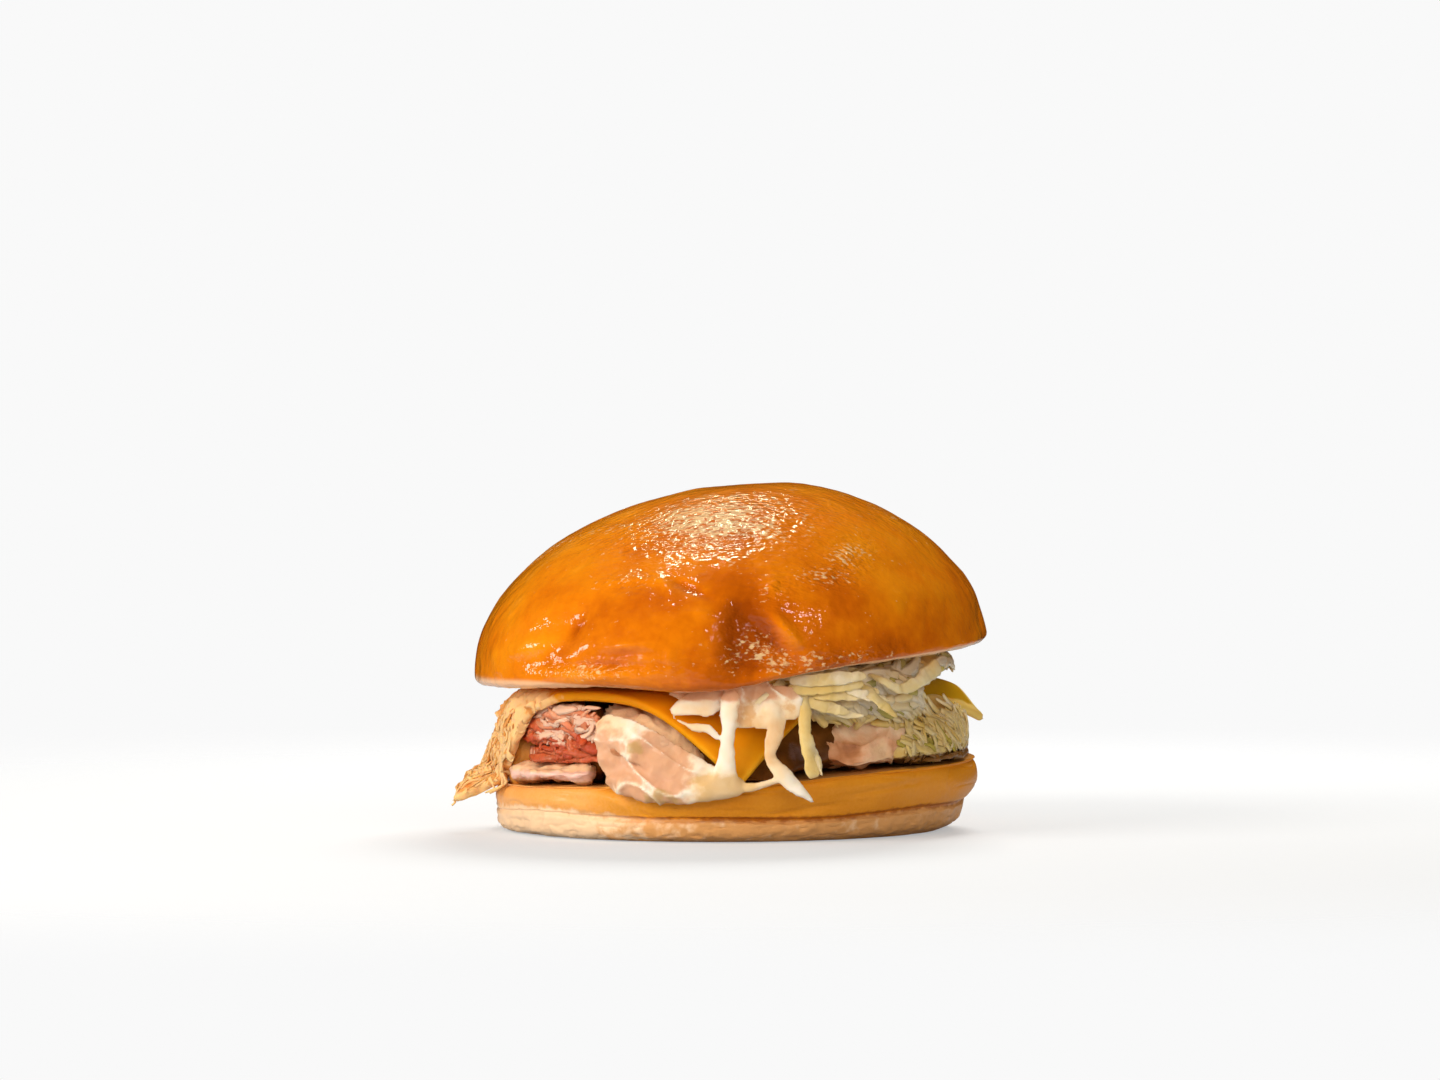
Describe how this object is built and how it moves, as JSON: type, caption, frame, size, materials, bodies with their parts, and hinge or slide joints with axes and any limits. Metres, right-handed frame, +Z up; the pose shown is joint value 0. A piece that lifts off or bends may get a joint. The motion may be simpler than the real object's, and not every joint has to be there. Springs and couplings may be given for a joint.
{
  "type": "chicken burger",
  "caption": "Glossy round bun with a tilted crown over roast chicken, folded bacon, a draped cheese slice and dressed cabbage slaw.",
  "frame": {"origin": "centre of the bun's flat underside", "axes": "+Z up from the surface that the burger stands on, -Y towards the front that it is looked at from, +X to the right of that view"},
  "size_m": [0.1132, 0.1089, 0.0736],
  "materials": {
    "heel_crust": "satin baked crust",
    "golden_crust": "glossy egg-washed crust",
    "processed_cheese": "satin",
    "sliced_chicken": "moist",
    "bacon": "moist",
    "roast_chicken": "moist",
    "cabbage": "moist",
    "mayonnaise": "glossy"
  },
  "bodies": {
    "root": {"bun_heel": "heel_crust", "bun_crown": "golden_crust", "cheese_slice": "processed_cheese", "chicken_slice": "sliced_chicken", "bacon_rasher": "bacon", "chicken_left": "roast_chicken", "chicken_right": "roast_chicken", "slaw_heap": "cabbage", "mayonnaise": "mayonnaise"}
  },
  "joints": []
}
